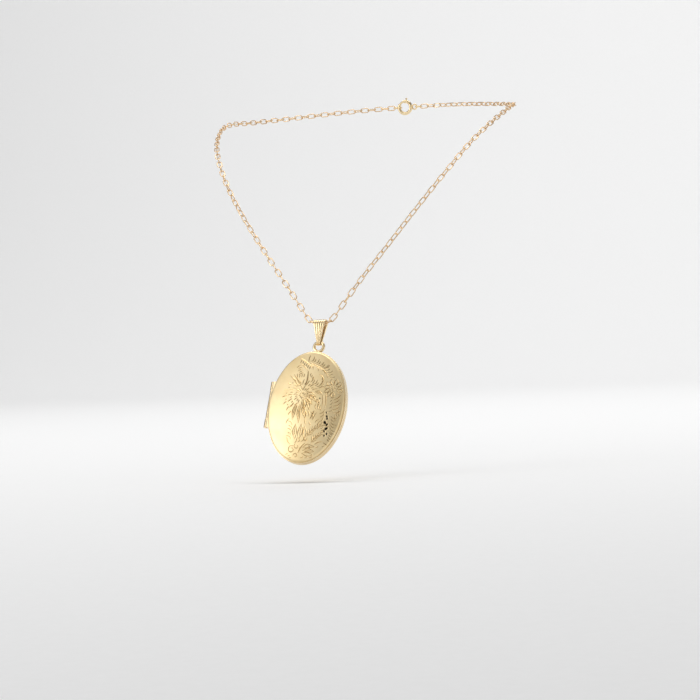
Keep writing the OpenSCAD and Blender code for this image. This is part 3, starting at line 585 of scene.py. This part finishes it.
def strokeDepths(plan):
    # depth in mm, less than none on the raised edges, the cut share, and the share painted near black as
    # painted shade and dark reflection, at every plan point
    depth = np.zeros(len(plan))
    cut = np.zeros(len(plan))
    dark = np.zeros(len(plan))
    ridge = np.zeros(len(plan))
    for way, halves, full, deep in strokes:
        reach = halves.max() * 2.2
        low, high = way.min(axis=0) - reach, way.max(axis=0) + reach
        near = np.flatnonzero(((plan > low) & (plan < high)).all(axis=1))
        nearest = np.full(len(near), 9.0)
        for a, b, wa, wb in zip(way[:-1], way[1:], halves[:-1], halves[1:]):
            run = b - a
            t = np.clip(((plan[near] - a) @ run) / max(run @ run, 1e-9), 0, 1)
            away = np.linalg.norm(plan[near] - a - t[:, None] * run, axis=1) / (wa + (wb - wa) * t)
            nearest = np.minimum(nearest, away)
        best = np.clip(1 - nearest, 0, 1)
        groove = np.minimum(best * 1.3, 1) ** 0.8
        depth[near] = np.maximum(depth[near], groove * full)
        burr = np.clip(1 - np.abs(nearest - 1.6) / 0.6, 0, 1)  # metal pushed up beside the cut
        ridge[near] = np.maximum(ridge[near], burr * full * strokeSizes["ridge"])
        # the cut share also darkens the colour as painted shade in the groove
        cut[near] = np.maximum(cut[near], np.clip(best * 2, 0, 1))
        # painted shade and dark reflection: the share of the cut painted near black
        dark[near] = np.maximum(dark[near], np.clip(best * 3, 0, 1) * deep)
    return np.where(depth > 0, depth, -ridge), cut, dark


def engravedCover():
    drawFlowers()
    drawFoliage()
    across, up = coverSizes["gridAcross"], coverSizes["gridUp"]
    u, v = np.meshgrid(np.linspace(-1, 1, across), np.linspace(-1, 1, up))
    a, b = u * np.sqrt(1 - v * v / 2), v * np.sqrt(1 - u * u / 2)
    share, angle = np.hypot(a, b), np.arctan2(b, a)
    outside = domePoints(np.minimum(share, 1), angle, 0)
    slopeU, slopeV = np.gradient(outside, axis=1), np.gradient(outside, axis=0)
    normal = np.cross(slopeU, slopeV)
    normal /= np.maximum(np.linalg.norm(normal, axis=2, keepdims=True), 1e-12)
    flat = outside.reshape(-1, 3)
    depth, cut, dark = strokeDepths(flat[:, :2])
    fade = np.clip((0.985 - share.ravel()) / 0.04, 0, 1)  # the strokes run out before the shoulder
    flat = flat - normal.reshape(-1, 3) * (depth * fade)[:, None]
    index = np.arange(up * across).reshape(up, across)
    cells = np.stack([index[:-1, :-1], index[:-1, 1:], index[1:, 1:], index[1:, :-1]], axis=-1)
    faces = cells.reshape(-1, 4).tolist()
    border = np.concatenate([index[0, :-1], index[:-1, -1], index[-1, :0:-1], index[:0:-1, 0]])
    around = len(border)
    borderAngle = angle.ravel()[border]
    rings = [domePoints(np.full(around, s), borderAngle, coverSizes["sheet"])
             for s in np.linspace(1, 0.12, coverSizes["insideRings"])]
    pole = domePoints(np.zeros(1), np.zeros(1), coverSizes["sheet"])
    verts = np.vstack([flat] + rings + [pole])
    loops = [border] + [up * across + k * around + np.arange(around) for k in range(len(rings))]
    for outer, inner in zip(loops[:-1], loops[1:]):
        for k in range(around):
            n = (k + 1) % around
            faces.append((outer[n], outer[k], inner[k], inner[n]))
    last = loops[-1]
    faces += [(last[(k + 1) % around], last[k], len(verts) - 1) for k in range(around)]
    basis = np.array([list(caseRight), list(caseUp), list(caseFront)])
    start = np.array(hingePoint + caseRight * (caseSizes["hingeAxis"] * mm))
    cover = meshObject("engravedCover", start + (verts * mm) @ basis, faces)
    # cut makes the grooves smoother and darker with painted shade; the other attribute paints the darkest
    # cuts near black as painted shade and dark reflection
    for name, values in (("cut", cut * fade), ("deep", dark * fade)):
        layer = cover.data.attributes.new(name, "FLOAT", "POINT")
        layer.data.foreach_set("value", np.concatenate([values, np.zeros(len(verts) - len(values))]))
    cover.data.materials.append(engravedGold)
    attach(cover, "front_half")
    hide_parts("front_cover")
    print("cover:", len(strokes), "strokes,", len(cover.data.polygons), "faces")


engravedCover()

bailSizes = {"rise": 6.4, "bend": 1.8, "hook": 0.85, "strap": 0.4, "topWidth": 4.5, "tipWidth": 1.4,
             "flutes": 5, "fluteDepth": 0.16, "stepsLong": 180, "stepsAcross": 51}


def flutedBail():
    rise, bend, strap = bailSizes["rise"], bailSizes["bend"], bailSizes["strap"]
    tipRadius = bailSizes["hook"] + strap
    slope = math.asin((bend - tipRadius) / rise)
    # side outline as front and up, half of it, from the top round to the tip
    topTurn = [(bend, a) for a in np.linspace(math.pi / 2, -slope, 24)]
    outline = [(r * math.cos(a), r * math.sin(a), a) for r, a in topTurn]
    leafStart, leafEnd = outline[-1][:2], (tipRadius * math.cos(slope), -rise - tipRadius * math.sin(slope))
    outline += [(leafStart[0] + (leafEnd[0] - leafStart[0]) * t,
                 leafStart[1] + (leafEnd[1] - leafStart[1]) * t, -slope)
                for t in np.linspace(0, 1, 44)[1:-1]]
    outline += [(tipRadius * math.cos(a), -rise + tipRadius * math.sin(a), a)
                for a in np.linspace(-slope, -math.pi / 2, 22)]
    outline += [(-f, u, math.pi - a) for f, u, a in outline[-2:0:-1]]
    verts = []
    flutes, across = bailSizes["flutes"], np.linspace(-1, 1, bailSizes["stepsAcross"])
    for front, high, angle in outline:
        share = min(max((high + rise) / (rise + bend / 2), 0), 1)
        half = (bailSizes["tipWidth"] + (bailSizes["topWidth"] - bailSizes["tipWidth"]) * share) / 2
        fade = min(max((bend * 0.75 - high) / (bend * 0.35), 0), 1)  # rounded heads under the top bend
        rib = np.sqrt(np.clip(1 - (2 * ((across + 1) / 2 * flutes % 1) - 1) ** 2, 0, 1))
        rib[0] = rib[-1] = 0
        sunk = bailSizes["fluteDepth"] * (1 - rib) * (0.25 + 0.75 * fade)
        out = (math.cos(angle), math.sin(angle))
        for t, d in zip(across, sunk):
            verts.append((t * half, front - out[0] * d, high - out[1] * d))
        for t in (1, 0.5, 0, -0.5, -1):
            verts.append((t * half, front - out[0] * strap, high - out[1] * strap))
    ringSize = len(across) + 5
    count = len(outline)
    faces = []
    for i in range(count):
        n = (i + 1) % count
        for k in range(ringSize):
            m = (k + 1) % ringSize
            faces.append((i * ringSize + k, i * ringSize + m, n * ringSize + m, n * ringSize + k))
    up = (bailPoint - ringPoint).normalized()
    front = Vector((1, 0, 0)).cross(up)
    basis = np.array([[1, 0, 0], list(front), list(up)])
    bail = meshObject("flutedBail", np.array(bailPoint) + (np.array(verts) * mm) @ basis, faces)
    bail.data.materials.append(polishedGold)
    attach(bail, "bail")
    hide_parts("bail")
    print("bail:", count, "rings")


flutedBail()


sheetSizes = {"stepsRound": 128, "cornerInset": 0.03, "filmAir": 0.02}


def ovalSheet(nodeName, body, material, air=0.0):
    # a flat oval with eased corners, in the recess of its half
    places = []
    for vertex in nodes[nodeName].data.vertices:
        away = vertex.co - hingePoint
        places.append((away.dot(caseRight) / mm - caseSizes["hingeAxis"], away.dot(caseUp) / mm,
                       away.dot(caseFront) / mm))
    low, high = np.min(places, axis=0), np.max(places, axis=0)
    if low[2] > 0:
        high[2] -= air  # a hair of air on the side towards the cover
    else:
        low[2] += air
    middle, half = (low + high) / 2, (high - low) / 2
    inset, around = sheetSizes["cornerInset"], sheetSizes["stepsRound"]
    verts = []
    for level, reduce in ((low[2], inset), (low[2] + inset, 0), (high[2] - inset, 0), (high[2], inset)):
        for k in range(around):
            a = 2 * math.pi * k / around
            verts.append(onCase(middle[0] + (half[0] - reduce) * math.cos(a),
                                middle[1] + (half[1] - reduce) * math.sin(a), level))
    faces = [tuple(range(around - 1, -1, -1)), tuple(range(3 * around, 4 * around))]
    for ring in range(3):
        for k in range(around):
            n = (k + 1) % around
            lower, upper = ring * around, (ring + 1) * around
            faces.append((lower + k, lower + n, upper + n, upper + k))
    title = nodeName.replace("_", " ").title().replace(" ", "")
    sheet = meshObject(title + "Sheet", verts, faces, smooth=False)
    sheet.data.materials.append(material)
    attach(sheet, body)
    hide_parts(nodeName)


for side in ("front", "back"):
    ovalSheet(side + "_card", side + "_half", photoCard)
    ovalSheet(side + "_film", side + "_half", acetateFilm, sheetSizes["filmAir"])
print("cards and films made")


stageSizes = {"drop": 0.006, "front": 2.2, "back": 1.3, "bend": 0.7, "wall": 3.0, "halfWidth": 3.0}


def paperSweep():
    # one sheet of paper: level under the object, bent up behind it into a wall
    material, tree = newMaterial("palePaperSweep")
    place = addNode(tree, "ShaderNodeTexCoord")
    fibre = addNode(tree, "ShaderNodeTexNoise", inputs={"Scale": 1 / (2 * mm), "Detail": 2.0},
                    links={"Vector": place.outputs["Object"]})
    tone = addNode(tree, "ShaderNodeMix", {"data_type": "RGBA"},
                   {"A": linearColour("#F4F4F4"), "B": linearColour("#F0F0F0")},
                   {"Factor": fibre.outputs["Fac"]})
    paper = addNode(tree, "ShaderNodeBsdfPrincipled", inputs={"Roughness": 0.9},
                    links={"Base Color": tone.outputs["Result"]})
    addNode(tree, "ShaderNodeOutputMaterial", links={"Surface": paper.outputs["BSDF"]})
    level = cadBox[0].z - stageSizes["drop"]
    bend, back = stageSizes["bend"], stageSizes["back"]
    outline = [(-stageSizes["front"], level)]
    outline += [(back + bend * math.sin(a), level + bend * (1 - math.cos(a)))
                for a in np.linspace(0, math.pi / 2, 25)]
    outline.append((back + bend, level + stageSizes["wall"]))
    wide = stageSizes["halfWidth"]
    verts = [(x, y, z) for y, z in outline for x in (-wide, wide)]
    faces = [(2 * i, 2 * i + 1, 2 * i + 3, 2 * i + 2) for i in range(len(outline) - 1)]
    sweep = meshObject("floor", verts, faces)
    sweep.data.materials.append(material)


paperSweep()

roomSizes = {"glowOnMetal": 0.36, "glowBehind": 0.8}
world = bpy.data.worlds.new("studio")
bpy.context.scene.world = world
world.use_nodes = True
world.node_tree.nodes.clear()
rays = addNode(world.node_tree, "ShaderNodeLightPath")
# the room is dim to the metal but looks as pale as the paper past its edges
glow = addNode(world.node_tree, "ShaderNodeMapRange",
               inputs={"To Min": roomSizes["glowOnMetal"], "To Max": roomSizes["glowBehind"]},
               links={"Value": rays.outputs["Is Camera Ray"]})
sky = addNode(world.node_tree, "ShaderNodeBackground", inputs={"Color": (0.95, 0.95, 0.95, 1)},
              links={"Strength": glow.outputs["Result"]})
addNode(world.node_tree, "ShaderNodeOutputWorld", links={0: sky.outputs[0]})


def softBox(name, place, aim, size, power):
    light = bpy.data.lights.new(name, "AREA")
    light.shape = "RECTANGLE"
    light.size, light.size_y = size
    light.energy = power
    lamp = bpy.data.objects.new(name, light)
    lamp.location = place
    lamp.rotation_euler = (Vector(aim) - Vector(place)).to_track_quat("-Z", "Y").to_euler()
    lamp.visible_camera = False
    bpy.context.scene.collection.objects.link(lamp)


middle = (0, -0.05, -0.1)
softBox("keyLeft", (-0.75, -0.75, 0.0), middle, (0.5, 0.7), 3.2)
softBox("front", (-0.55, -0.95, 0.5), middle, (0.8, 0.7), 1.9)
softBox("top", (0.0, -0.1, 1.1), middle, (1.2, 1.0), 3.6)
softBox("fillRight", (0.9, -0.4, 0.1), middle, (0.4, 0.7), 1.2)
softBox("wallWash", (0.0, 0.3, 1.6), (0.0, 1.9, 0.4), (2.4, 0.8), 26)
print("stage and lights set")

bpy.context.scene.view_settings.view_transform = "Standard"
